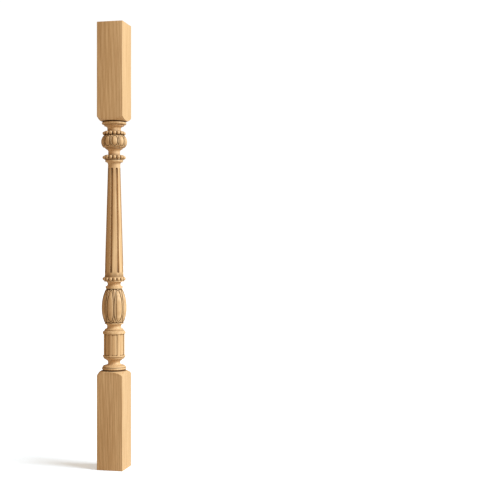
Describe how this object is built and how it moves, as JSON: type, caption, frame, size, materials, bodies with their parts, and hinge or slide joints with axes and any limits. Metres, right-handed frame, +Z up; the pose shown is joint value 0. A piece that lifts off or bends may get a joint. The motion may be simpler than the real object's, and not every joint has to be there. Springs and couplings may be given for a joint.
{
  "type": "wooden stair baluster",
  "caption": "Square-ended wooden baluster with a carved vase, a fluted tapered shaft, a carved bulb, bead collars and turned mouldings.",
  "frame": {"origin": "middle of the lower block's underside, on the surface that it stands on", "axes": "+Z up along the baluster; the block's faces point along X and Y"},
  "size_m": [0.06, 0.06, 1],
  "materials": {
    "oak": "fine-sanded pale oak, matt"
  },
  "bodies": {
    "root": {"carved_baluster": "oak"}
  },
  "joints": []
}
